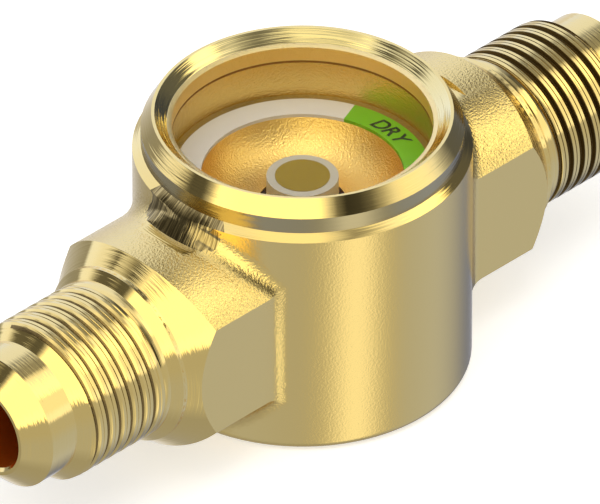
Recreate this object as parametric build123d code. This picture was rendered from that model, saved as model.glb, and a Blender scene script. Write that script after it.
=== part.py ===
from build123d import *
import math
import os

# Moisture indicator sight glass for a 3/8 inch refrigerant line with male flare ends.
# Millimetres, +Z up. The origin is the middle of the flat base and the pipe line runs along X.
# Heights named _z are measured from the base.

# Line
overall_length = 83.2
axis_z = 12.1
passage_diameter = 8.0
mouth_chamfer = 0.3

# Cup, forged in one with the arms
cup_diameter = 32.0
cup_base_edge = 1.0
total_height = 27.7

# Collar, turned on the top of the cup
collar_diameter = 30.4
collar_land = 1.9
collar_shoulder_drop = 0.3
rim_diameter = 28.4
rim_flat = 0.3
rim_chamfer_height = 1.65
rim_countersink_depth = 0.85
relief_foot_reach = 1.4
relief_ledge_reach = 2.9
relief_ledge_depth = 5.8

# Arms, forged with two wrench flats and crowned above and below
across_flats = 19.4
flat_height = 11.7
crown_height = 20.4
forging_fillet = 2.2

# Flare ends, turned on the arms; lengths run inwards from the end face
flare_length = 2.1
flare_angle = 45.0
nose_length = 3.1
nose_diameter = 13.5
thread_lead_length = 1.2
thread_length = 9.85
thread_diameter = 16.0
neck_chamfer = 0.85
neck_land = 0.5
shoulder_cone_length = 2.95
shoulder_diameter = 22.7

# Window bore and the parts clamped in it
window_bore_diameter = 25.5
ring_opening_diameter = 24.6
ring_bevel_width = 0.4
ring_bevel_depth = 0.2
upper_seal_thickness = 0.25
glass_thickness = 4.0
glass_edge_clearance = 0.05
glass_edge_chamfer = 0.2
glass_top_depth = 2.95
dial_opening_diameter = 19.1
dial_diameter = 24.2
dial_thickness = 0.35
lower_seal_thickness = 0.7
lower_seal_opening_diameter = 20.6

# Viewing dish under the window and the well below it
dish_floor_depth = 3.0
dish_corner_radius = 5.5
well_diameter = 8.4

# Indicator
post_diameter = 6.8
post_head_height = 4.2
post_gap_under_dial = 0.4
post_stem_diameter = 3.2
post_seat_depth = 3.0
paper_diameter = 5.2
paper_thickness = 0.3
paper_recess_depth = 0.25

# Heights and radii that follow from these
cup_radius = cup_diameter / 2
collar_radius = collar_diameter / 2
bore_radius = window_bore_diameter / 2
opening_radius = ring_opening_diameter / 2
passage_radius = passage_diameter / 2
glass_top_z = total_height - glass_top_depth
glass_base_z = glass_top_z - glass_thickness
dial_base_z = glass_base_z - dial_thickness
ring_top_z = total_height - rim_countersink_depth
ring_base_z = glass_top_z + upper_seal_thickness
seal_base_z = glass_base_z - lower_seal_thickness
dish_floor_z = dial_base_z - dish_floor_depth
well_floor_z = axis_z - passage_radius
post_top_z = glass_base_z - post_gap_under_dial
half_length = overall_length / 2
neck_radius = thread_diameter / 2 + neck_chamfer
relief_foot_radius = cup_radius + relief_foot_reach
relief_ledge_radius = cup_radius + relief_ledge_reach


def turned(points):
    """A solid turned about the cup's axis from a closed outline of (radius, height) points."""
    outline = Polyline(*[(r, 0, z) for r, z in points], close=True)
    return revolve(make_face(outline), Axis.Z, 360)


def turned_ring(inner_radius, outer_radius, base_z, top_z):
    """A plain flat ring about the cup's axis."""
    corners = [(inner_radius, base_z), (outer_radius, base_z), (outer_radius, top_z), (inner_radius, top_z)]
    return turned(corners)


def arm_section():
    """Cross-section of both arms: upright wrench flats joined by a crown above and below."""
    side, corner, crown = across_flats / 2, flat_height / 2, crown_height / 2
    upper = ThreePointArc((-side, corner), (0, crown), (side, corner))
    lower = ThreePointArc((side, -corner), (0, -crown), (-side, -corner))
    right = Line((side, corner), (side, -corner))
    left = Line((-side, -corner), (-side, corner))
    return make_face([upper, right, lower, left])


def flare_end():
    """The turned form of one arm's end, from the middle of the cup out to the nose, along +X."""
    shoulder, thread, nose = shoulder_diameter / 2, thread_diameter / 2, nose_diameter / 2
    mouth = nose - flare_length * math.tan(math.radians(flare_angle))
    flare_x = half_length - flare_length
    nose_x = flare_x - nose_length
    thread_end_x = nose_x - thread_lead_length
    thread_start_x = thread_end_x - thread_length
    neck_end_x = thread_start_x - neck_chamfer
    neck_x = neck_end_x - neck_land
    points = [
        (0, 0), (0, shoulder), (neck_x - shoulder_cone_length, shoulder), (neck_x, neck_radius),
        (neck_end_x, neck_radius), (thread_start_x, thread), (thread_end_x, thread), (nose_x, nose),
        (flare_x, nose), (half_length, mouth), (half_length, 0),
    ]
    outline = Polyline(*[(x, 0, r) for x, r in points], close=True)
    return revolve(make_face(outline), Axis.X, 360)


def forging():
    """Cup and arms as they leave the die, with a foot still to be faced off and rounded inner corners."""
    foot_z = axis_z - crown_height / 2 - 2 * forging_fillet
    cup = Pos(0, 0, foot_z) * extrude(Rot(0, 0, -90) * Circle(cup_radius), total_height - foot_z)
    line = Plane(origin=(0, 0, axis_z), x_dir=(0, 1, 0), z_dir=(1, 0, 0))
    blank = cup + extrude(line * arm_section(), half_length, both=True)
    return fillet([edge for edge in blank.edges() if joins_cup_and_arm(edge)], forging_fillet)


def joins_cup_and_arm(edge):
    """True for an edge whose ends both lie where a wrench flat meets the cup."""
    return all(abs(abs(v.Y) - across_flats / 2) < 0.01 and abs(math.hypot(v.X, v.Y) - cup_radius) < 0.01
               for v in edge.vertices())


def base_waste():
    """What is faced off below the base, with the rounded base edge."""
    flat_radius, clear_radius = cup_radius - cup_base_edge, relief_ledge_radius
    clear_z = -crown_height
    knee = cup_base_edge * math.sqrt(0.5)
    outline = [
        Line((0, 0, clear_z), (0, 0, 0)),
        Line((0, 0, 0), (flat_radius, 0, 0)),
        ThreePointArc((flat_radius, 0, 0), (flat_radius + knee, 0, cup_base_edge - knee),
                      (cup_radius, 0, cup_base_edge)),
        Line((cup_radius, 0, cup_base_edge), (clear_radius, 0, cup_base_edge)),
        Line((clear_radius, 0, cup_base_edge), (clear_radius, 0, clear_z)),
        Line((clear_radius, 0, clear_z), (0, 0, clear_z)),
    ]
    return revolve(make_face(outline), Axis.Z, 360)


def collar_waste():
    """What the tool turns off around the collar, down to a ledge over each arm."""
    ledge_z = total_height - relief_ledge_depth
    band_top_z = total_height - rim_chamfer_height
    band_base_z = band_top_z - collar_land
    shoulder_z = band_base_z - collar_shoulder_drop
    clear_z = total_height + 1
    return turned([
        (rim_diameter / 2, clear_z), (rim_diameter / 2, total_height), (collar_radius, band_top_z),
        (collar_radius, band_base_z), (cup_radius, shoulder_z), (relief_foot_radius, ledge_z),
        (relief_ledge_radius, ledge_z), (relief_ledge_radius, clear_z),
    ])


def window_waste():
    """What is bored out for the window: countersunk rim, bore, seal recess and rounded dish."""
    dish_radius, seal_radius = dial_opening_diameter / 2, lower_seal_opening_diameter / 2
    bore = turned([
        (0, total_height + 1), (rim_diameter / 2 - rim_flat, total_height + 1),
        (rim_diameter / 2 - rim_flat, total_height), (bore_radius, ring_top_z),
        (bore_radius, seal_base_z), (seal_radius, seal_base_z), (seal_radius, dial_base_z),
        (0, dial_base_z),
    ])
    return bore + dish(dish_radius)


def dish(radius):
    """The rounded dish under the dial, as the solid that fills it."""
    floor_radius = radius - math.sqrt(dish_corner_radius ** 2 - (dish_corner_radius - dish_floor_depth) ** 2)
    centre = (floor_radius, dish_floor_z + dish_corner_radius)
    half_angle = math.acos((centre[1] - dial_base_z) / dish_corner_radius) / 2
    middle = (centre[0] + dish_corner_radius * math.sin(half_angle),
              centre[1] - dish_corner_radius * math.cos(half_angle))
    floor = Line((0, 0, dish_floor_z), (floor_radius, 0, dish_floor_z))
    side = ThreePointArc((floor_radius, 0, dish_floor_z), (middle[0], 0, middle[1]), (radius, 0, dial_base_z))
    top = Line((radius, 0, dial_base_z), (0, 0, dial_base_z))
    spine = Line((0, 0, dial_base_z), (0, 0, dish_floor_z))
    return revolve(make_face([floor, side, top, spine]), Axis.Z, 360)


def forged_body():
    """The brass body in one piece, forged, then turned at the collar and at both ends."""
    line = Pos(0, 0, axis_z)
    end = line * flare_end()
    middle = Pos(0, 0, axis_z) * Cylinder(relief_ledge_radius, 4 * crown_height)
    body = forging() & (end + mirror(end, Plane.YZ) + middle)
    body = body - base_waste() - collar_waste() - window_waste()
    passage = line * Rot(0, 90, 0) * Cylinder(passage_radius, overall_length)
    well = Pos(0, 0, well_floor_z) * Cylinder(well_diameter / 2, dish_floor_z - well_floor_z,
                                              align=(Align.CENTER, Align.CENTER, Align.MIN))
    seat = Pos(0, 0, well_floor_z) * Cylinder(post_stem_diameter / 2, post_seat_depth,
                                              align=(Align.CENTER, Align.CENTER, Align.MAX))
    body = body - passage - well - seat
    mouths = [e for e in body.edges().filter_by(GeomType.CIRCLE)
              if abs(abs(e.center().X) - half_length) < 0.01 and abs(e.radius - passage_radius) < 0.01]
    return chamfer(mouths, mouth_chamfer)


def retaining_ring():
    """Thin brass ring pressed in over the glass, bevelled at its upper inner edge."""
    return turned([
        (opening_radius, ring_base_z), (bore_radius, ring_base_z), (bore_radius, ring_top_z),
        (opening_radius + ring_bevel_width, ring_top_z), (opening_radius, ring_top_z - ring_bevel_depth),
    ])


def sight_glass():
    """Flat glass disc with both edges broken."""
    disc = Cylinder(bore_radius - glass_edge_clearance, glass_thickness,
                    align=(Align.CENTER, Align.CENTER, Align.MIN))
    return Pos(0, 0, glass_base_z) * chamfer(disc.edges(), glass_edge_chamfer)


def upper_seal():
    """Thin ring between the glass and the retaining ring."""
    return turned_ring(opening_radius, bore_radius, glass_top_z, ring_base_z)


def lower_seal():
    """Seal under the glass: a web below the dial and a lip around it."""
    web_radius, lip_radius = lower_seal_opening_diameter / 2, dial_diameter / 2
    return turned([
        (web_radius, seal_base_z), (bore_radius, seal_base_z), (bore_radius, glass_base_z),
        (lip_radius, glass_base_z), (lip_radius, dial_base_z), (web_radius, dial_base_z),
    ])


def dial_ring():
    """Flat ring that carries the colour scale."""
    return turned_ring(dial_opening_diameter / 2, dial_diameter / 2, dial_base_z, glass_base_z)


def indicator_post():
    """Plastic holder: a head with a recess for the paper, on a stem pressed into the body."""
    head_radius, stem_radius = post_diameter / 2, post_stem_diameter / 2
    recess_z, head_base_z = post_top_z - paper_recess_depth, post_top_z - post_head_height
    return turned([
        (0, well_floor_z - post_seat_depth), (stem_radius, well_floor_z - post_seat_depth),
        (stem_radius, head_base_z - (head_radius - stem_radius)), (head_radius, head_base_z),
        (head_radius, post_top_z), (paper_diameter / 2, post_top_z), (paper_diameter / 2, recess_z),
        (0, recess_z),
    ])


def indicator_paper():
    """Round moisture-sensitive disc, set in the head of the post."""
    return Pos(0, 0, post_top_z - paper_recess_depth) * Cylinder(
        paper_diameter / 2, paper_thickness, align=(Align.CENTER, Align.CENTER, Align.MIN))


os.makedirs("parts", exist_ok=True)
for piece in (forged_body, retaining_ring, upper_seal, sight_glass, dial_ring, lower_seal,
              indicator_post, indicator_paper):
    export_step(piece(), f"parts/{piece.__name__}.step")
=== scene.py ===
"""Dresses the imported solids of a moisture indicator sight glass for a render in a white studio."""

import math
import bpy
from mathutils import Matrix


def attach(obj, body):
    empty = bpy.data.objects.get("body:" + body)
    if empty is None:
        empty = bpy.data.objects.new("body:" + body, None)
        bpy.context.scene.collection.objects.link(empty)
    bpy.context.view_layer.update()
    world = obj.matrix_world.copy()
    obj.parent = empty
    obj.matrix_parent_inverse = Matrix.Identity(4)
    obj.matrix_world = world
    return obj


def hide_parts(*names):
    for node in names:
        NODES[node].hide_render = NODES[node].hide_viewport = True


bl_info = {
    "name": "Moisture Indicator Sight Glass",
    "version": (1, 0, 0),
    "blender": (4, 5, 0),
    "location": "View3D > Sidebar > Sight Glass",
    "description": "Cuts the flare threads, finishes the brass, prints the dial and sets the studio",
    "category": "Object",
}

import bmesh
import bpy
from bpy.props import FloatProperty, IntProperty, PointerProperty, StringProperty
from mathutils import Matrix, Vector

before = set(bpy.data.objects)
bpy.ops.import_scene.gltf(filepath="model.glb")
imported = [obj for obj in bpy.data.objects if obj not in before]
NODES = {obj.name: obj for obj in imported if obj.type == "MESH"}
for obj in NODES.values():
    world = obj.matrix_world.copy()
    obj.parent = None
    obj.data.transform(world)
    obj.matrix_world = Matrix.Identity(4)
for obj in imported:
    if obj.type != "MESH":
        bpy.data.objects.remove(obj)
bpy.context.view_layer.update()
MM = 0.001

# Heights above the base, radii and distances from the middle, in millimetres, as the solids have them.
AXIS_Z = 12.1
CUP_RADIUS = 16.0
COLLAR_RADIUS = 15.2
COLLAR_BASE_Z = 23.85
LEDGE_Z = 21.9
BORE_RADIUS = 12.75
DIAL_TOP_Z = 20.75
DIAL_BASE_Z = 20.4
DISH_RADIUS = 9.55
RELIEF_FOOT_RADIUS = 17.4
SHOULDER_X = 21.05
SHOULDER_RADIUS = 11.35
CONE_LENGTH = 2.95
NECK_RADIUS = 8.85
NECK_END_X = 24.5
SEAT_X = 39.5
MOUTH_X = 41.3
HALF_LENGTH = 41.6
FACE_RADIUS = 4.65
MOUTH_RADIUS = 4.3
PASSAGE_RADIUS = 4.0

# How far the shoulder under the collar is lifted and the lip round the window lowered, in millimetres, to
# give both the steeper slope of the photograph. Of the lip and the ring, what lies above this height moves.
SHOULDER_LIFT = 0.3
LIP_DROP = 0.17
RING_BEVEL_Z = 26.6

# Where the plain ends are cut off and the threaded ones joined on, in millimetres, the gap that is bridged
# there, how far from a wall's radius its edges are looked for, and how close points merge.
SEAM_X = 24.3
JOIN_GAP = 0.02
SAME_WALL = 1.0
MERGE = 0.001

# The thread's chain starts this many turns early. The quarter turn brings its run-out to the underside.
EARLY_TURNS = 2.25
# The groove fades out at the neck over this many turns, along a curve of this power.
RUN_OUT_TURNS = 1.3
RUN_OUT_CURVE = 1.5

# The glass disc, in millimetres: a hair under the seal above it and over the dial below it.
GLASS_TOP_Z = 24.74
GLASS_RADIUS = 12.7
GLASS_GAP = 0.05
GLASS_CHAMFER = 0.2

# The dial's words: height of the letters, how much bolder they are drawn, their slant as a share, degrees
# from one to the next, how far out their feet stand, and how far the ink lies over the ring.
LETTER_HEIGHT = 2.2
LETTER_WEIGHT = 0.045
LETTER_SLANT = 0.3
LETTER_STEP = 7.6
FEET_RADIUS = 10.0
INK_LIFT = 0.015

# How far the middle of the frame lies left of the middle of the pipe line and below it, in millimetres.
FRAME_LEFT, FRAME_DOWN = 0.235, 0.433
SENSOR_WIDTH = 36.0

# The lamp and the floor, in metres, except how far the floor lies under the object, in millimetres.
LAMP_PLACE, LAMP_AIM, LAMP_SIZE = (-0.05, -0.04, 0.45), (0, 0, 0.01), 0.3
FLOOR_SIZE = 2.0
FLOOR_DROP = 0.02
FLOOR_GLOW = 0.5
WHITE = (1.0, 1.0, 1.0, 1.0)
FILL_GREY = (0.62, 0.62, 0.62, 1.0)


# Helpers

def linear(code):
    """Turns an sRGB hex colour such as "#F3D785" into linear red, green, blue and alpha."""
    parts = [int(code[i:i + 2], 16) / 255 for i in (1, 3, 5)]
    return tuple(c / 12.92 if c <= 0.04045 else ((c + 0.055) / 1.055) ** 2.4 for c in parts) + (1.0,)


def add(tree, kind, inputs=None, **settings):
    """Adds a node to the tree, sets its properties, and gives each input a value or a link."""
    made = tree.nodes.new(kind)
    for name, value in settings.items():
        setattr(made, name, value)
    for name, value in (inputs or {}).items():
        if isinstance(value, bpy.types.NodeSocket):
            tree.links.new(value, made.inputs[name])
        else:
            made.inputs[name].default_value = value
    return made


def mix(tree, share, first, second):
    """Blends two colours; share 0 gives the first."""
    made = add(tree, "ShaderNodeMix", data_type="RGBA", clamp_result=False)
    for index, value in ((0, share), (6, first), (7, second)):
        if isinstance(value, bpy.types.NodeSocket):
            tree.links.new(value, made.inputs[index])
        else:
            made.inputs[index].default_value = value
    return made.outputs[2]


def new_material(name, base, metallic=0.0, roughness=0.5, **inputs):
    """An empty procedural material: its tree and its Principled shader, with constants on the sockets."""
    material = bpy.data.materials.new(name)
    material.use_nodes = True
    tree = material.node_tree
    shader = tree.nodes["Principled BSDF"]
    shader.inputs["Base Color"].default_value = linear(base)
    shader.inputs["Metallic"].default_value = metallic
    shader.inputs["Roughness"].default_value = roughness
    for name, value in inputs.items():
        shader.inputs[name.replace("_", " ")].default_value = value
    return material, tree, shader


def place(name, bm, materials, smooth_angle=28.0):
    """Turns a bmesh into an object at the origin that rides on the body."""
    mesh = bpy.data.meshes.new(name)
    bm.to_mesh(mesh)
    bm.free()
    inherited = mesh.attributes.get("custom_normal")
    if inherited is not None:
        mesh.attributes.remove(inherited)
    mesh.shade_smooth()
    mesh.set_sharp_from_angle(angle=math.radians(smooth_angle))
    piece = bpy.data.objects.new(name, mesh)
    bpy.context.scene.collection.objects.link(piece)
    for material in materials:
        mesh.materials.append(material)
    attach(piece, "root")
    return piece


def dress(node, material):
    """Gives a carried-over solid its finish."""
    NODES[node].data.materials.clear()
    NODES[node].data.materials.append(material)


def radius_about_line(co):
    """Distance from the pipe line, in metres."""
    return math.hypot(co.y, co.z - AXIS_Z * MM)


# Settings

class ThreadSettings(bpy.types.PropertyGroup):
    """Sizes of the flare threads."""

    pitch: FloatProperty(name="Pitch", description="Distance between two turns", default=1.5 * MM,
                         unit="LENGTH")
    crest_radius: FloatProperty(name="Crest radius", description="Over the crests", default=8.0 * MM,
                                unit="LENGTH")
    root_radius: FloatProperty(name="Root radius", description="At the bottom of the groove",
                               default=7.55 * MM, unit="LENGTH")
    start: FloatProperty(name="Start", description="Where the turns run out, from the middle",
                         default=25.35 * MM, unit="LENGTH")
    lead_start: FloatProperty(name="Lead start", description="Where the lead chamfer begins",
                              default=35.2 * MM, unit="LENGTH")
    nose: FloatProperty(name="Nose", description="Where the lead chamfer ends", default=36.4 * MM,
                        unit="LENGTH")
    nose_radius: FloatProperty(name="Nose radius", description="Of the plain nose", default=6.75 * MM,
                               unit="LENGTH")
    steps: IntProperty(name="Steps", description="Facets in one turn", default=120, min=24)


class BrassSettings(bpy.types.PropertyGroup):
    """Colours and finish of the brass."""

    forged: StringProperty(name="Forged brass", description="sRGB colour as hex", default="#F3D584")
    turned: StringProperty(name="Turned brass", description="sRGB colour as hex", default="#F4D787")
    # The dish colour is painted reflection: a warmer, darker brass for light bounced inside the cup.
    dish: StringProperty(name="Dish", description="sRGB colour as hex", default="#E4BD66")
    forged_roughness: FloatProperty(name="Forged roughness", description="Of the tumbled forging",
                                    default=0.2, subtype="FACTOR", min=0, max=1)
    turned_roughness: FloatProperty(name="Turned roughness", description="Of the cut faces",
                                    default=0.07, subtype="FACTOR", min=0, max=1)


class DialSettings(bpy.types.PropertyGroup):
    """Colours and sectors of the printed dial."""

    ground: StringProperty(name="Ground", description="sRGB colour as hex", default="#CFC8BC")
    dry: StringProperty(name="Dry", description="sRGB colour as hex", default="#6CAA00")
    wet: StringProperty(name="Wet", description="sRGB colour as hex", default="#E8C81E")
    dry_middle: FloatProperty(name="Dry middle", description="Direction of the green field",
                              default=math.radians(-15), subtype="ANGLE")
    wet_middle: FloatProperty(name="Wet middle", description="Direction of the yellow field",
                              default=math.radians(190), subtype="ANGLE")
    field_width: FloatProperty(name="Field width", description="Angle that each field covers",
                               default=math.radians(72), subtype="ANGLE")


class StageSettings(bpy.types.PropertyGroup):
    """Camera and light."""

    lens: FloatProperty(name="Lens", description="Focal length", default=1300.0, unit="CAMERA")
    frame_width: FloatProperty(name="Frame width", description="Width of the view at the object",
                               default=56.47 * MM, unit="LENGTH")
    azimuth: FloatProperty(name="Azimuth", description="Turn of the camera about the object",
                           default=math.radians(-45), subtype="ANGLE")
    elevation: FloatProperty(name="Elevation", description="Height of the camera over the horizon",
                             default=math.radians(35.264), subtype="ANGLE")
    key_power: FloatProperty(name="Key power", description="Of the key lamp", default=0.5, unit="POWER")


# Brass

def grainy_brass(name, colour, roughness, grain, height):
    """Brass with an orange-peel skin: dimples of about the size grain, in metres, and that deep."""
    material, tree, shader = new_material(name, colour, 1.0, roughness)
    place_node = add(tree, "ShaderNodeTexCoord")
    peel = add(tree, "ShaderNodeTexNoise", {"Vector": place_node.outputs["Object"], "Scale": 1 / grain,
                                            "Detail": 2.0, "Roughness": 0.55})
    bump = add(tree, "ShaderNodeBump", {"Height": peel.outputs["Fac"], "Strength": 1.0, "Distance": height})
    tree.links.new(bump.outputs["Normal"], shader.inputs["Normal"])
    return material


def forged_brass(settings):
    """Hot-forged brass, shot-blasted and tumbled: satin metal with a fine orange-peel skin."""
    return grainy_brass("forged_brass", settings.forged, settings.forged_roughness, 0.23 * MM, 0.055 * MM)


def satin_brass(settings):
    """Forged brass on the plain cup wall and the wrench flats, which the dies leave nearly smooth."""
    return grainy_brass("satin_brass", settings.forged, settings.forged_roughness, 0.22 * MM, 0.02 * MM)


def blasted_brass(name, colour, roughness):
    """Brass inside the cup, blasted but not tumbled: finely grained and still glossy."""
    return grainy_brass(name, colour, roughness, 0.2 * MM, 0.08 * MM)


def painted_shade_brass(name, colour):
    """Brass in the thread grooves and on their flanks, its colour darkened as painted shade for the hollows.
    """
    return grainy_brass(name, colour, 0.3, 0.3 * MM, 0.02 * MM)


def drilled_brass():
    """The drilled passage: dull, its colour painted deep orange as painted reflection of the light that only
    gets there off its own walls.
    """
    material, tree, shader = new_material("drilled_brass", "#B4560A", 0.55, 0.5)
    place_node = add(tree, "ShaderNodeTexCoord")
    grain = add(tree, "ShaderNodeTexNoise", {"Vector": place_node.outputs["Object"], "Scale": 1500.0})
    bump = add(tree, "ShaderNodeBump", {"Height": grain.outputs["Fac"], "Distance": 0.02 * MM})
    tree.links.new(bump.outputs["Normal"], shader.inputs["Normal"])
    return material


def turned_brass(name, colour, roughness, around, spacing=0.25 * MM, height=0.024 * MM):
    """Brass cut on a lathe: bright metal with fine feed marks round the axis of turning."""
    material, tree, shader = new_material(name, colour, 1.0, roughness)
    place_node = add(tree, "ShaderNodeTexCoord")
    shifted = add(tree, "ShaderNodeMapping", {"Vector": place_node.outputs["Object"],
                                              "Location": (0, 0, 0 if around == "Z" else -AXIS_Z * MM)})
    axes = add(tree, "ShaderNodeSeparateXYZ", {"Vector": shifted.outputs["Vector"]})
    first, second, along = ("X", "Y", "Z") if around == "Z" else ("Y", "Z", "X")
    flat = add(tree, "ShaderNodeCombineXYZ", {"X": axes.outputs[first], "Y": axes.outputs[second]})
    reach = add(tree, "ShaderNodeVectorMath", {0: flat.outputs["Vector"]}, operation="LENGTH")
    turn = add(tree, "ShaderNodeVectorMath", {0: flat.outputs["Vector"]}, operation="NORMALIZE")
    # Marks are drawn coarser than real ones, to show: they lie about the spacing apart. They are read
    # from the way along the axis and the distance to it, and slowly change round it.
    lengthwise = add(tree, "ShaderNodeMath", {0: axes.outputs[along], 1: spacing}, operation="DIVIDE")
    outward = add(tree, "ShaderNodeMath", {0: reach.outputs["Value"], 1: spacing}, operation="DIVIDE")
    split = add(tree, "ShaderNodeSeparateXYZ", {"Vector": turn.outputs["Vector"]})
    marks_at = add(tree, "ShaderNodeCombineXYZ", {"X": split.outputs["X"], "Y": split.outputs["Y"],
                                                  "Z": lengthwise.outputs["Value"]})
    marks = add(tree, "ShaderNodeTexNoise", {"Vector": marks_at.outputs["Vector"], "Scale": 1.0,
                                             "W": outward.outputs["Value"], "Detail": 2.0,
                                             "Roughness": 0.6}, noise_dimensions="4D")
    bump = add(tree, "ShaderNodeBump", {"Height": marks.outputs["Fac"], "Distance": height})
    tree.links.new(bump.outputs["Normal"], shader.inputs["Normal"])
    return material


def scored_brass(settings):
    """Brass where the collar tool broke through the forging: chatter marks run down the cone."""
    material, tree, shader = new_material("scored_brass", settings.turned, 1.0, 0.12)
    place_node = add(tree, "ShaderNodeTexCoord")
    axes = add(tree, "ShaderNodeSeparateXYZ", {"Vector": place_node.outputs["Object"]})
    flat = add(tree, "ShaderNodeCombineXYZ", {"X": axes.outputs["X"], "Y": axes.outputs["Y"]})
    turn = add(tree, "ShaderNodeVectorMath", {0: flat.outputs["Vector"]}, operation="NORMALIZE")
    # Scores lie about 0.18 mm apart round the cone, which is 16.7 mm in radius there.
    tight = add(tree, "ShaderNodeVectorMath", {0: turn.outputs["Vector"], "Scale": 16.7 / 0.18},
                operation="SCALE")
    split = add(tree, "ShaderNodeSeparateXYZ", {"Vector": tight.outputs["Vector"]})
    down = add(tree, "ShaderNodeMath", {0: axes.outputs["Z"], 1: 2.5 * MM}, operation="DIVIDE")
    both = add(tree, "ShaderNodeCombineXYZ", {"X": split.outputs["X"], "Y": split.outputs["Y"],
                                              "Z": down.outputs["Value"]})
    scores = add(tree, "ShaderNodeTexNoise", {"Vector": both.outputs["Vector"], "Scale": 1.0, "Detail": 2.0})
    bump = add(tree, "ShaderNodeBump", {"Height": scores.outputs["Fac"], "Distance": 0.02 * MM})
    tree.links.new(bump.outputs["Normal"], shader.inputs["Normal"])
    # Painted shade: the colour follows the scores' bump, dark brown in their hollows and lighter between
    # them.
    tone = add(tree, "ShaderNodeValToRGB", {"Fac": scores.outputs["Fac"]})
    for element, position, code in zip(tone.color_ramp.elements, (0.4, 0.66), ("#7C6B42", "#CDB67C")):
        element.position, element.color = position, linear(code)
    tree.links.new(tone.outputs["Color"], shader.inputs["Base Color"])
    return material


# Threads

def thread_chain(bm, settings):
    """The thread's outline along one line of the surface, long enough to be spun one turn."""
    pitch, crest, root = settings.pitch, settings.crest_radius, settings.root_radius
    round_off = 0.04 * MM
    # Each ridge drops steeply on the side of the cup and slopes off towards the nose. Rolling the thread
    # leaves a fine seam round the middle of its crest.
    outline = [(0.0, crest - round_off), (0.03, crest), (0.25, crest), (0.29, crest - 2 * round_off),
               (0.33, crest), (0.54, crest), (0.58, crest - round_off), (0.7, crest - 0.38 * (crest - root)),
               (0.88, root + round_off), (0.9, root), (0.97, root), (0.985, root + round_off)]
    turns = math.ceil((settings.nose - settings.start) / pitch) + 3
    verts = []
    for turn in range(turns):
        for share, radius in outline:
            x = settings.start + (turn - EARLY_TURNS + share) * pitch
            verts.append(bm.verts.new((x, 0, radius + AXIS_Z * MM)))
    edges = [bm.edges.new(pair) for pair in zip(verts, verts[1:])]
    return verts, edges


def spin_about_line(bm, verts, edges, steps, advance=0.0):
    """Spins a chain one full turn about the pipe line, moving on by advance in that turn."""
    return bmesh.ops.spin(bm, geom=verts + edges, cent=(0, 0, AXIS_Z * MM), axis=(1, 0, 0),
                          dvec=(advance / steps, 0, 0), angle=math.tau, steps=steps,
                          use_merge=advance == 0, use_normal_flip=False, use_duplicate=False)


def envelope(settings, x):
    """Radius that the lead chamfer leaves for the thread at x."""
    if x <= settings.lead_start:
        return settings.crest_radius
    share = (x - settings.lead_start) / (settings.nose - settings.lead_start)
    return settings.crest_radius + (settings.nose_radius - settings.crest_radius) * share


def cut_off(bm, x, way):
    """Cuts away what lies past x, on the side that way points to along the pipe line."""
    everything = list(bm.verts) + list(bm.edges) + list(bm.faces)
    bmesh.ops.bisect_plane(bm, geom=everything, plane_co=(x, 0, 0), plane_no=(way, 0, 0), clear_outer=True)


def cut_thread(settings):
    """The threaded stretch of one end, with the turns fading out at the neck and in the chamfer."""
    bm = bmesh.new()
    verts, edges = thread_chain(bm, settings)
    spin_about_line(bm, verts, edges, settings.steps, settings.pitch)
    bmesh.ops.remove_doubles(bm, verts=bm.verts, dist=2 * MERGE * MM)
    cut_off(bm, settings.start, -1)
    cut_off(bm, settings.nose, 1)
    for vert in bm.verts:
        radius = radius_about_line(vert.co)
        limit = envelope(settings, vert.co.x)
        fade = min(1.0, (vert.co.x - settings.start) / (RUN_OUT_TURNS * settings.pitch)) ** RUN_OUT_CURVE
        wanted = min(limit, limit - (settings.crest_radius - radius) * fade if fade < 1 else radius)
        scale = min(wanted, limit) / radius
        vert.co.y *= scale
        vert.co.z = AXIS_Z * MM + (vert.co.z - AXIS_Z * MM) * scale
    return bm


def turned_end(settings):
    """One whole flare end along +X: neck, thread, chamfer, nose, flare seat, mouth and bore."""
    bm = cut_thread(settings)
    gap = JOIN_GAP * MM
    seam = (SEAM_X + JOIN_GAP) * MM
    neck = [(seam, NECK_RADIUS * MM), (NECK_END_X * MM, NECK_RADIUS * MM),
            (settings.start - gap, settings.crest_radius)]
    nose = [(settings.nose + gap, settings.nose_radius), (SEAT_X * MM, settings.nose_radius),
            (HALF_LENGTH * MM, FACE_RADIUS * MM), (HALF_LENGTH * MM, MOUTH_RADIUS * MM),
            (MOUTH_X * MM, PASSAGE_RADIUS * MM), (seam, PASSAGE_RADIUS * MM)]
    for outline in (neck, nose):
        verts = [bm.verts.new((x, 0, r + AXIS_Z * MM)) for x, r in outline]
        edges = [bm.edges.new(pair) for pair in zip(verts, verts[1:])]
        spin_about_line(bm, verts, edges, settings.steps)
    for x in (settings.start - gap / 2, settings.nose + gap / 2):
        rims = [e for e in bm.edges if e.is_boundary and all(abs(v.co.x - x) < gap for v in e.verts)]
        bmesh.ops.bridge_loops(bm, edges=rims)
    return bm


def cut_body(settings):
    """A merged copy of the forged body with both plain ends cut off and threaded ends joined on."""
    bm = bmesh.new()
    bm.from_mesh(NODES["forged_body"].data)
    bmesh.ops.remove_doubles(bm, verts=bm.verts, dist=MERGE * MM)
    for side in (-1, 1):
        cut_off(bm, side * SEAM_X * MM, side)
    end = turned_end(settings)
    mesh = bpy.data.meshes.new("turned_end")
    end.to_mesh(mesh)
    end.free()
    for turn in (0.0, math.pi):
        mesh.transform(Matrix.Rotation(turn, 4, "Z"))
        bm.from_mesh(mesh)
    bpy.data.meshes.remove(mesh)
    join_seams(bm)
    bmesh.ops.recalc_face_normals(bm, faces=bm.faces)
    return bm


def join_seams(bm):
    """Bridges the outer wall and the bore wall across the cut on both sides."""
    for side in (-1, 1):
        near = [e for e in bm.edges if e.is_boundary
                and all(abs(v.co.x - side * (SEAM_X + JOIN_GAP / 2) * MM) < 0.05 * MM for v in e.verts)]
        for radius in (PASSAGE_RADIUS, NECK_RADIUS):
            ring = [e for e in near if abs(radius_about_line(e.verts[0].co) / MM - radius) < SAME_WALL]
            bmesh.ops.bridge_loops(bm, edges=ring)


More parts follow.
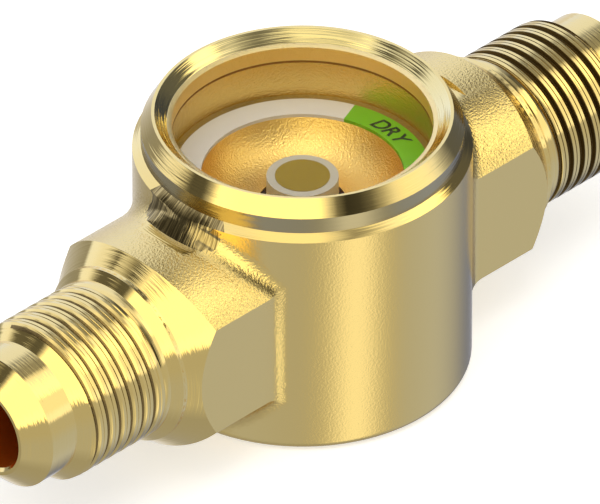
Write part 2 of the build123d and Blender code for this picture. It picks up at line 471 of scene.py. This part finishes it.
# The body's finishes, in the order of its material slots.
FORGED, SATIN, COLLAR, BAND, LIP, SCORED, ENDS, FLANK, GROOVE, DISH, BORE, PASSAGE = range(12)
# How far, in millimetres, a point may lie from a surface that it counts to.
NEAR = 0.04
# Further than this from the cup's axis the drilled bore gets its own finish, and above this height what
# lies inside the window bore gets that of its wall.
PASSAGE_START = 4.1
BORE_FOOT_Z = 19
# How much of its own distance out a point over an arm may lie to the side.
ARM_SPREAD = 0.29
# Shares of the thread's depth past which a face belongs to the groove or to its flank.
GROOVE_DEPTH, FLANK_DEPTH = 0.95, 0.5
# How squarely the steep side of a ridge faces the cup, and a wrench flat its own side.
STEEP_SIDE, FLAT_SIDE = 0.6, 0.985


def about_cup(co):
    """Distance from the cup's upright axis, in millimetres."""
    return math.hypot(co.x, co.y) / MM


def shoulder_radius(x):
    """Radius of the shoulder cone or of the neck behind it at a distance x from the middle."""
    if x <= SHOULDER_X:
        return SHOULDER_RADIUS
    cone = SHOULDER_RADIUS - (x - SHOULDER_X) * (SHOULDER_RADIUS - NECK_RADIUS) / CONE_LENGTH
    return max(NECK_RADIUS, cone)


def relief_radius(z):
    """Radius of the relief cone that the collar tool leaves over the arms, at height z."""
    share = (COLLAR_BASE_Z - z) / (COLLAR_BASE_Z - LEDGE_Z)
    return CUP_RADIUS + share * (RELIEF_FOOT_RADIUS - CUP_RADIUS)


def thread_finish(face, thread):
    """Which finish a face of a flare end gets: the thread's crests stay bright, its grooves and flanks get
    painted shade.
    """
    middle = face.calc_center_median()
    x = abs(middle.x)
    if not thread.start < x < thread.nose:
        return ENDS
    if face.normal.x * middle.x < -STEEP_SIDE * x:
        return GROOVE
    depth = (envelope(thread, x) - radius_about_line(middle)) / (thread.crest_radius - thread.root_radius)
    return GROOVE if depth > GROOVE_DEPTH else FLANK if depth > FLANK_DEPTH else ENDS


def over_arm(co):
    """Whether a point lies over the middle of an arm, where the collar tool broke into the forging."""
    return abs(co.y) < ARM_SPREAD * abs(co.x)


def finish_of(face, thread):
    """Which finish a face of the body gets, from the surface that all its corners lie on."""
    corners = [vert.co for vert in face.verts]

    def all_lie(test):
        return all(test(co) for co in corners)

    if (about_cup(corners[0]) > PASSAGE_START
            and all_lie(lambda co: radius_about_line(co) < (PASSAGE_RADIUS + NEAR) * MM)):
        return PASSAGE
    if all_lie(lambda co: abs(co.x) > (SHOULDER_X - NEAR) * MM
               and radius_about_line(co) < (shoulder_radius(abs(co.x) / MM) + NEAR) * MM):
        return thread_finish(face, thread)
    if all_lie(lambda co: about_cup(co) < DISH_RADIUS + NEAR and co.z < (DIAL_BASE_Z + NEAR) * MM):
        return DISH
    if all_lie(lambda co: about_cup(co) < BORE_RADIUS + NEAR and co.z > BORE_FOOT_Z * MM):
        return BORE
    outward = (face.normal.x * corners[0].x + face.normal.y * corners[0].y) / (about_cup(corners[0]) * MM)
    middle = face.calc_center_median()
    # The relief cone over an arm, with a margin round it, but no face that lies level.
    if (over_arm(middle) and LEDGE_Z + NEAR < middle.z / MM < COLLAR_BASE_Z + 0.5
            and COLLAR_RADIUS + 0.1 < about_cup(middle) < relief_radius(middle.z / MM) + 0.4
            and face.normal.z < 0.95):
        return SCORED
    if all_lie(lambda co: co.z > (COLLAR_BASE_Z - NEAR) * MM):
        return BAND if outward > 0.9 else LIP if outward < -0.2 else COLLAR
    if all_lie(lambda co: abs(co.z / MM - LEDGE_Z) < NEAR and about_cup(co) > CUP_RADIUS):
        return COLLAR
    if all_lie(lambda co: about_cup(co) < CUP_RADIUS + NEAR) or abs(face.normal.y) > FLAT_SIDE:
        return SATIN
    return FORGED


def raise_shoulder(bm):
    """Gives the shoulder under the collar its full slope by lifting its inner edge."""
    for vert in bm.verts:
        if abs(about_cup(vert.co) - COLLAR_RADIUS) < NEAR and vert.co.z < (COLLAR_BASE_Z + 0.5) * MM:
            vert.co.z += SHOULDER_LIFT * MM


def deepen_lip(bm):
    """Gives the lip round the window its full slope by lowering its inner edge."""
    for vert in bm.verts:
        if about_cup(vert.co) < BORE_RADIUS + NEAR and vert.co.z > RING_BEVEL_Z * MM:
            vert.co.z -= LIP_DROP * MM


class SIGHTGLASS_OT_dress_body(bpy.types.Operator):
    """Cuts the flare threads into the forged body and gives every face its brass finish"""

    bl_idname = "sightglass.dress_body"
    bl_label = "Dress the Brass Body"

    def execute(self, context):
        scene = context.scene
        bm = cut_body(scene.sightglass_thread)
        open_edges = sum(not edge.is_manifold for edge in bm.edges)
        if open_edges:
            raise RuntimeError(f"the threaded body has {open_edges} open edges")
        for face in bm.faces:
            face.material_index = finish_of(face, scene.sightglass_thread)
        raise_shoulder(bm)
        deepen_lip(bm)
        brass = scene.sightglass_brass
        materials = [
            forged_brass(brass),
            satin_brass(brass),
            turned_brass("turned_brass_collar", brass.turned, brass.turned_roughness, "Z"),
            # Painted shade: the band's colour is a darker, greyer copy of the turned brass.
            turned_brass("turned_brass_band", "#B8A97C", 0.18, "Z"),
            # Painted highlight: the lip's colour is a paler copy of the turned brass.
            turned_brass("turned_brass_lip", "#F0DC98", 0.1, "Z", 0.3 * MM, 0.045 * MM),
            scored_brass(brass),
            turned_brass("turned_brass_ends", brass.turned, brass.turned_roughness, "X"),
            # The flank and groove finishes are darker brass colours: painted shade in the thread's hollows.
            painted_shade_brass("oily_brass_flank", "#8F784A"),
            painted_shade_brass("oily_brass_groove", "#7C6C48"),
            # Painted reflection: the dish's colour is a warmer, darker copy of the brass, for light bounced
            # inside the cup.
            blasted_brass("blasted_brass_dish", brass.dish, 0.3),
            blasted_brass("blasted_brass_bore", brass.forged, 0.22),
            drilled_brass(),
        ]
        body = place("threaded_body", bm, materials)
        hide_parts("forged_body")
        return {"FINISHED"}


class SIGHTGLASS_OT_finish_ring(bpy.types.Operator):
    """Sets the retaining ring flush with the lip and gives it its finish"""

    bl_idname = "sightglass.finish_ring"
    bl_label = "Finish the Retaining Ring"

    def execute(self, context):
        bm = bmesh.new()
        bm.from_mesh(NODES["retaining_ring"].data)
        bmesh.ops.remove_doubles(bm, verts=bm.verts, dist=MERGE * MM)
        deepen_lip(bm)
        # Painted light: the ring's colour is a lighter copy of the brass, which also lightens its reflection
        # in the lip.
        brass = blasted_brass("blasted_brass_ring", "#FFE49A", 0.4)
        ring = place("flush_ring", bm, [brass])
        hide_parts("retaining_ring")
        return {"FINISHED"}


# Window

def window_glass():
    """Borosilicate window: clear, ground flat and polished, so it only shows as a gloss."""
    return new_material("polished_glass", "#FFFFFF", 0.0, 0.0, IOR=1.0, Transmission_Weight=1.0,
                        Coat_Weight=0.07, Coat_Roughness=0.0, Coat_IOR=1.5)[0]


class SIGHTGLASS_OT_set_window(bpy.types.Operator):
    """Makes the glass disc with a hair of air under it, so that it and the dial don't share a face"""

    bl_idname = "sightglass.set_window"
    bl_label = "Set the Window"

    def execute(self, context):
        bm = bmesh.new()
        base, top, radius = (DIAL_TOP_Z + GLASS_GAP) * MM, GLASS_TOP_Z * MM, GLASS_RADIUS * MM
        bmesh.ops.create_cone(bm, cap_ends=True, segments=128, radius1=radius, radius2=radius,
                              depth=top - base, matrix=Matrix.Translation((0, 0, (base + top) / 2)))
        rims = [e for e in bm.edges if abs(e.verts[0].co.z - e.verts[1].co.z) < 1e-6]
        bmesh.ops.bevel(bm, geom=rims, offset=GLASS_CHAMFER * MM, affect="EDGES", segments=2,
                        profile=0.5, material=-1)
        glass = place("window_disc", bm, [window_glass()])
        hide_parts("sight_glass")
        return {"FINISHED"}


class SIGHTGLASS_OT_finish_seals(bpy.types.Operator):
    """Gives the two seals their finish"""

    bl_idname = "sightglass.finish_seals"
    bl_label = "Finish the Seals"

    def execute(self, context):
        # Bronze-filled fluoropolymer: olive brown with a fine metal grain.
        material, tree, shader = new_material("bronze_filled_ptfe", "#8A6E2A", 0.3, 0.4)
        place_node = add(tree, "ShaderNodeTexCoord")
        grain = add(tree, "ShaderNodeTexNoise", {"Vector": place_node.outputs["Object"], "Scale": 5000.0})
        tone = add(tree, "ShaderNodeValToRGB", {"Fac": grain.outputs["Fac"]})
        tone.color_ramp.elements[0].color = linear("#6E5620")
        tone.color_ramp.elements[1].color = linear("#A08438")
        tree.links.new(tone.outputs["Color"], shader.inputs["Base Color"])
        dress("lower_seal", material)
        # Graphite-loaded sheet seal: dark brown and matt.
        dark, tree, shader = new_material("graphite_seal", "#8A5A1C", 0.0, 0.6)
        place_node = add(tree, "ShaderNodeTexCoord")
        grain = add(tree, "ShaderNodeTexNoise", {"Vector": place_node.outputs["Object"], "Scale": 6000.0})
        bump = add(tree, "ShaderNodeBump", {"Height": grain.outputs["Fac"], "Strength": 0.3,
                                            "Distance": 0.03 * MM})
        tree.links.new(bump.outputs["Normal"], shader.inputs["Normal"])
        dress("upper_seal", dark)
        return {"FINISHED"}


# Dial

def printed_dial(settings):
    """Offset-printed sheet: a flat pale ground with a green and a yellow field, matt under the glass."""
    material, tree, shader = new_material("printed_dial", settings.ground, 0.0, 0.55)
    place_node = add(tree, "ShaderNodeTexCoord")
    colour = linear(settings.ground)
    flat = add(tree, "ShaderNodeVectorMath", {0: place_node.outputs["Object"], 1: (1.0, 1.0, 0.0)},
               operation="MULTIPLY")
    unit = add(tree, "ShaderNodeVectorMath", {0: flat.outputs["Vector"]}, operation="NORMALIZE")
    for middle, code in ((settings.dry_middle, settings.dry), (settings.wet_middle, settings.wet)):
        ray = (math.cos(middle), math.sin(middle), 0.0)
        facing = add(tree, "ShaderNodeVectorMath", {0: unit.outputs["Vector"], 1: ray},
                     operation="DOT_PRODUCT")
        inside = add(tree, "ShaderNodeMath", {0: facing.outputs["Value"],
                                              1: math.cos(settings.field_width / 2)},
                     operation="GREATER_THAN")
        colour = mix(tree, inside.outputs["Value"], colour, linear(code))
    tree.links.new(colour, shader.inputs["Base Color"])
    return material


class SIGHTGLASS_OT_print_dial(bpy.types.Operator):
    """Prints the colour fields and the words on the dial ring"""

    bl_idname = "sightglass.print_dial"
    bl_label = "Print the Dial"

    def execute(self, context):
        settings = context.scene.sightglass_dial
        dress("dial_ring", printed_dial(settings))
        # Offset ink: nearly black with a green cast, half matt. It is one plain colour.
        ink = new_material("printing_ink", "#1E2A10", 0.0, 0.5)[0]
        for name, word, angle in (("dry_word", "DRY", -5.4), ("wet_word", "WET", 190.0)):
            piece = write_word(name, word, math.radians(angle), ink)
        return {"FINISHED"}


def write_word(name, word, angle, ink):
    """Sets a word along the dial, its feet towards the middle, as thin print just over the ring."""
    letters = []
    step = math.radians(LETTER_STEP)
    for index, letter in enumerate(word):
        curve = bpy.data.curves.new(letter, "FONT")
        curve.body = letter
        curve.size = LETTER_HEIGHT * MM
        curve.offset = LETTER_WEIGHT * MM
        curve.shear = LETTER_SLANT
        curve.align_x = "CENTER"
        drawn = bpy.data.objects.new(letter, curve)
        bpy.context.scene.collection.objects.link(drawn)
        bpy.context.view_layer.update()
        mesh = bpy.data.meshes.new_from_object(drawn)
        bpy.data.objects.remove(drawn)
        where = angle + step * ((len(word) - 1) / 2 - index)
        turn = Matrix.Rotation(where - math.pi / 2, 4, "Z")
        feet = Matrix.Translation((0, FEET_RADIUS * MM, (DIAL_TOP_Z + INK_LIFT) * MM))
        mesh.transform(turn @ feet)
        letters.append(mesh)
    bm = bmesh.new()
    for mesh in letters:
        bm.from_mesh(mesh)
        bpy.data.meshes.remove(mesh)
    return place(name, bm, [ink])


class SIGHTGLASS_OT_finish_indicator(bpy.types.Operator):
    """Gives the post and the moisture paper their finish"""

    bl_idname = "sightglass.finish_indicator"
    bl_label = "Finish the Indicator"

    def execute(self, context):
        # Injection-moulded acetal: off-white, satin, slightly waxy.
        white, tree, shader = new_material("moulded_acetal", "#B4AA90", 0.0, 0.4)
        place_node = add(tree, "ShaderNodeTexCoord")
        grain = add(tree, "ShaderNodeTexNoise", {"Vector": place_node.outputs["Object"], "Scale": 2500.0})
        bump = add(tree, "ShaderNodeBump", {"Height": grain.outputs["Fac"], "Strength": 0.1,
                                            "Distance": 0.03 * MM})
        tree.links.new(bump.outputs["Normal"], shader.inputs["Normal"])
        dress("indicator_post", white)
        # Filter paper soaked in a cobalt-free moisture salt: olive, matt, faintly fibrous.
        paper, tree, shader = new_material("indicator_paper", "#8A7410", 0.0, 0.85)
        place_node = add(tree, "ShaderNodeTexCoord")
        fibres = add(tree, "ShaderNodeTexNoise", {"Vector": place_node.outputs["Object"], "Scale": 2600.0,
                                                  "Detail": 4.0})
        tone = add(tree, "ShaderNodeValToRGB", {"Fac": fibres.outputs["Fac"]})
        tone.color_ramp.elements[0].color = linear("#80680C")
        tone.color_ramp.elements[1].color = linear("#977E12")
        tree.links.new(tone.outputs["Color"], shader.inputs["Base Color"])
        dress("indicator_paper", paper)
        return {"FINISHED"}


# Stage

# Softboxes and black flags round the set, as rings one over the other, which glossy and transmission rays
# see. Each stop of a ring has the compass direction in degrees, how bright it is, where 1 is white and some
# are brighter, and its tint: above 1 is bluer than white, and below 1 yellower.
TOP = [(180, 1.2, 0.85), (246, 1.2, 0.85), (266, 0.8, 1), (280, 0.35, 1), (292, 0.6, 1), (304, 1.2, 0.9),
       (330, 1.0, 1), (380, 0.62, 1.23), (420, 0.94, 1.3), (500, 1.02, 1.15), (540, 1.2, 0.85)]
ABOVE = [(180, 0.7, 0.95), (228, 0.64, 1), (236, 0.45, 1), (242, 0.24, 1), (272, 0.2, 1), (286, 0.4, 1),
         (298, 0.8, 1), (308, 1.3, 1), (342, 1.3, 1), (351, 0.9, 1), (358, 0.32, 1.08), (376, 0.35, 1.15),
         (386, 0.57, 1.23), (396, 0.94, 1.3), (410, 1.05, 1.36), (480, 1.03, 1.23), (508, 1.01, 1.08),
         (516, 1.15, 0.95), (528, 0.9, 0.95), (540, 0.7, 0.95)]
HIGH = [(180, 1.75, 0.72), (236, 1.75, 0.72), (243, 0.9, 1), (250, 0.2, 1), (274, 0.12, 1), (283, 0.3, 1),
        (291, 0.62, 1), (303, 0.62, 1), (310, 1.9, 0.75), (350, 1.9, 0.75), (355, 0.7, 1), (359, 0.12, 1.15),
        (382, 0.11, 1.36), (394, 0.42, 1.43), (402, 1.01, 1.43), (440, 1.08, 1.43), (468, 1.03, 1.23),
        (478, 0.95, 1.15), (487, 0.7, 1.1), (495, 0.35, 1), (503, 0.12, 1), (514, 0.12, 1), (519, 0.6, 1),
        (525, 1.7, 0.8), (540, 1.75, 0.72)]
RISING = [(180, 1.75, 0.72), (236, 1.75, 0.72), (243, 0.9, 1), (249, 0.2, 1), (256, 0.04, 1), (266, 0.06, 1),
          (274, 0.15, 1), (283, 0.5, 1), (292, 1.0, 1), (299, 1.15, 0.9), (322, 1.15, 0.9), (327, 0.14, 1),
          (358, 0.12, 1.15), (382, 0.11, 1.36), (394, 0.42, 1.43), (402, 1.01, 1.43), (440, 1.08, 1.43),
          (468, 1.03, 1.23), (473, 0.61, 1.15), (478, 0.14, 1), (514, 0.1, 1), (519, 0.6, 1), (525, 1.7, 0.8),
          (540, 1.75, 0.72)]
BESIDE = [(180, 1.9, 0.72), (236, 1.8, 0.75), (243, 0.8, 1), (250, 0.14, 1), (259, 0.03, 1),
          (269, 0.06, 1), (278, 0.35, 1), (286, 0.8, 1), (293, 1.15, 1), (301, 1.32, 1), (318, 1.22, 1.05),
          (327, 1.03, 1.23), (335, 0.57, 1.3), (345, 0.19, 1.43), (352, 0.07, 1.43), (384, 0.06, 1.55),
          (394, 0.32, 1.55), (405, 0.97, 1.55), (440, 1.12, 1.49), (470, 1.12, 1.3), (493, 1.02, 1.15),
          (499, 0.61, 1.08), (504, 0.08, 1), (519, 0.1, 1), (524, 0.8, 1), (529, 1.7, 0.8),
          (540, 1.9, 0.72)]
SKIRT = [(180, 0.5, 1), (300, 0.55, 1.08), (325, 0.57, 1.23), (336, 0.4, 1.3), (346, 0.13, 1.43),
         (386, 0.13, 1.55), (398, 0.37, 1.43), (411, 0.87, 1.15), (421, 0.71, 1.15), (438, 0.52, 1.23),
         (453, 0.34, 1.23), (500, 0.3, 1.08), (517, 0.42, 1), (540, 0.5, 1)]
BELOW = [(180, 0.56, 1.35), (225, 0.52, 1.2), (237, 0.56, 1), (248, 0.85, 1), (255, 1.2, 1), (269, 1.2, 1),
         (276, 0.85, 1), (287, 0.55, 1), (300, 0.56, 1.35), (330, 0.6, 1.45), (345, 0.51, 1.43),
         (357, 0.4, 1.43), (369, 0.28, 1.55), (385, 0.24, 1.55), (396, 0.52, 1.3), (408, 0.81, 1.08),
         (420, 0.76, 1.08), (435, 0.51, 1.15), (450, 0.41, 1.15), (500, 0.38, 1.08), (517, 0.48, 1),
         (540, 0.56, 1.35)]
UNDER = [(180, 0.41, 1.15), (540, 0.41, 1.15)]
# From the floor up: each ring with the height in degrees where it gives way to the next, and how softly.
RINGS = [(UNDER, -61, 9), (BELOW, -20, 8), (SKIRT, 3, 2), (BESIDE, 14, 3), (RISING, 35, 2), (HIGH, 49, 2),
         (ABOVE, 61, 3), (TOP, None, None)]


def ring_of_light(tree, direction, stops):
    """A band of light and dark round the set, read along the compass direction."""
    ramp = add(tree, "ShaderNodeValToRGB", {"Fac": direction})
    ramp.color_ramp.interpolation = "LINEAR"
    elements = ramp.color_ramp.elements
    for index, (degrees, value, blue) in enumerate(stops):
        position = (degrees - 180) / 360
        if index == 0:
            element = elements[0]
        elif index == len(stops) - 1:
            element = elements[len(elements) - 1]
        else:
            element = elements.new(position)
        element.position = position
        element.color = (value * (1.25 - 0.25 * blue), value, value * blue, 1.0)
    return ramp.outputs["Color"]


def studio_world():
    """White for the camera, a plain grey for matt surfaces, tinted rings of light for metal and glass."""
    world = bpy.data.worlds.new("studio")
    bpy.context.scene.world = world
    world.use_nodes = True
    tree = world.node_tree
    tree.nodes.clear()
    place_node = add(tree, "ShaderNodeTexCoord")
    axes = add(tree, "ShaderNodeSeparateXYZ", {"Vector": place_node.outputs["Generated"]})
    compass = add(tree, "ShaderNodeMath", {0: axes.outputs["Y"], 1: axes.outputs["X"]}, operation="ARCTAN2")
    direction = add(tree, "ShaderNodeMath", {0: compass.outputs["Value"], 1: 1 / math.tau, 2: 0.5},
                    operation="MULTIPLY_ADD").outputs["Value"]
    surround, edge = ring_of_light(tree, direction, RINGS[0][0]), RINGS[0][1:]
    for stops, height, softness in RINGS[1:]:
        low, high = (math.sin(math.radians(edge[0] + way * edge[1])) for way in (-1, 1))
        share = add(tree, "ShaderNodeMapRange", {"Value": axes.outputs["Z"], "From Min": low,
                                                 "From Max": high})
        surround = mix(tree, share.outputs["Result"], surround, ring_of_light(tree, direction, stops))
        edge = height, softness
    # Only camera rays see the white backdrop. Glossy and transmission rays see the rings in its place, and
    # all other rays see the grey, so metal and glass don't show the white that lies behind the object.
    rays = add(tree, "ShaderNodeLightPath")
    direct = rays.outputs["Is Camera Ray"]
    shown = mix(tree, direct, surround, WHITE)
    shiny = add(tree, "ShaderNodeMath", {0: rays.outputs["Is Glossy Ray"],
                                         1: rays.outputs["Is Transmission Ray"]}, operation="MAXIMUM")
    either = add(tree, "ShaderNodeMath", {0: direct, 1: shiny.outputs["Value"]}, operation="MAXIMUM")
    seen = mix(tree, either.outputs["Value"], FILL_GREY, shown)
    sky = add(tree, "ShaderNodeBackground", {"Color": seen, "Strength": 1.0})
    add(tree, "ShaderNodeOutputWorld", {"Surface": sky.outputs["Background"]})


def studio_floor():
    """A seamless white sheet with a soft shadow, which metal and glass see past.

    It lies a hair under the object and is clear from below, so that the underside can be looked at. Its
    glow isn't limited to camera rays, so it also lights matt surfaces that face it.
    """
    bm = bmesh.new()
    bmesh.ops.create_grid(bm, x_segments=1, y_segments=1, size=FLOOR_SIZE,
                          matrix=Matrix.Translation((0, 0, -FLOOR_DROP * MM)))
    mesh = bpy.data.meshes.new("floor")
    bm.to_mesh(mesh)
    bm.free()
    floor = bpy.data.objects.new("floor", mesh)
    bpy.context.scene.collection.objects.link(floor)
    material, tree, shader = new_material("white_paper", "#FFFFFF", 0.0, 0.9)
    shader.inputs["Emission Color"].default_value = WHITE
    shader.inputs["Emission Strength"].default_value = FLOOR_GLOW
    side = add(tree, "ShaderNodeNewGeometry")
    clear = add(tree, "ShaderNodeBsdfTransparent")
    sheet = add(tree, "ShaderNodeMixShader", {0: side.outputs["Backfacing"], 1: shader.outputs["BSDF"],
                                              2: clear.outputs["BSDF"]})
    tree.links.new(sheet.outputs["Shader"], tree.nodes["Material Output"].inputs["Surface"])
    mesh.materials.append(material)
    floor.visible_glossy = False
    floor.visible_transmission = False


def aim_camera(settings):
    """A long lens from the photograph's isometric direction."""
    turn, lift = settings.azimuth, settings.elevation
    back = Vector((math.sin(turn) * math.cos(lift), -math.cos(turn) * math.cos(lift), math.sin(lift)))
    right = Vector((math.cos(turn), math.sin(turn), 0.0))
    up = back.cross(right)
    middle = Vector((0, 0, AXIS_Z * MM)) - right * FRAME_LEFT * MM - up * FRAME_DOWN * MM
    camera_data = bpy.data.cameras.new("camera")
    camera_data.lens = settings.lens
    camera_data.sensor_width = SENSOR_WIDTH
    camera_data.clip_start, camera_data.clip_end = 0.05, 20.0
    camera = bpy.data.objects.new("camera", camera_data)
    bpy.context.scene.collection.objects.link(camera)
    place_at = middle + back * settings.frame_width * settings.lens / SENSOR_WIDTH
    rotation = Matrix((right, up, back)).transposed().to_4x4()
    camera.matrix_world = Matrix.Translation(place_at) @ rotation
    bpy.context.scene.camera = camera


class SIGHTGLASS_OT_set_stage(bpy.types.Operator):
    """Sets the floor, the lamp, the surroundings and the camera"""

    bl_idname = "sightglass.set_stage"
    bl_label = "Set the Stage"

    def execute(self, context):
        scene = context.scene
        settings = scene.sightglass_stage
        scene.view_settings.view_transform = "Standard"
        studio_world()
        studio_floor()
        lamp_data = bpy.data.lights.new("key_softbox", "AREA")
        lamp_data.energy = settings.key_power
        lamp_data.size = LAMP_SIZE
        lamp = bpy.data.objects.new("key_softbox", lamp_data)
        scene.collection.objects.link(lamp)
        lamp.location = LAMP_PLACE
        lamp.rotation_euler = (Vector(LAMP_AIM) - lamp.location).to_track_quat("-Z", "Y").to_euler()
        lamp.visible_glossy = False
        aim_camera(settings)
        return {"FINISHED"}


class SIGHTGLASS_PT_panel(bpy.types.Panel):
    """Lists the steps in the sidebar of the 3D view"""

    bl_idname = "SIGHTGLASS_PT_panel"
    bl_label = "Sight Glass"
    bl_space_type = "VIEW_3D"
    bl_region_type = "UI"
    bl_category = "Sight Glass"

    def draw(self, context):
        for step in STEPS:
            self.layout.operator(step.bl_idname)


STEPS = (SIGHTGLASS_OT_dress_body, SIGHTGLASS_OT_finish_ring, SIGHTGLASS_OT_set_window,
         SIGHTGLASS_OT_finish_seals, SIGHTGLASS_OT_print_dial, SIGHTGLASS_OT_finish_indicator,
         SIGHTGLASS_OT_set_stage)
GROUPS = {"sightglass_thread": ThreadSettings, "sightglass_brass": BrassSettings,
          "sightglass_dial": DialSettings, "sightglass_stage": StageSettings}


def register():
    """Adds the settings, the operators and the panel to Blender."""
    for group in GROUPS.values():
        bpy.utils.register_class(group)
    for step in STEPS:
        bpy.utils.register_class(step)
    bpy.utils.register_class(SIGHTGLASS_PT_panel)
    for name, group in GROUPS.items():
        setattr(bpy.types.Scene, name, PointerProperty(type=group))


def unregister():
    """Takes the settings, the operators and the panel out again."""
    for name in GROUPS:
        delattr(bpy.types.Scene, name)
    for kind in (SIGHTGLASS_PT_panel, *STEPS, *GROUPS.values()):
        bpy.utils.unregister_class(kind)


def main():
    """Builds the whole scene."""
    register()
    for extra in ("Cube", "Light", "Camera"):
        found = bpy.data.objects.get(extra)
        if found is not None:
            bpy.data.objects.remove(found)
    bpy.ops.sightglass.dress_body()
    bpy.ops.sightglass.finish_ring()
    bpy.ops.sightglass.set_window()
    bpy.ops.sightglass.finish_seals()
    bpy.ops.sightglass.print_dial()
    bpy.ops.sightglass.finish_indicator()
    bpy.ops.sightglass.set_stage()


if __name__ == "__main__":
    main()
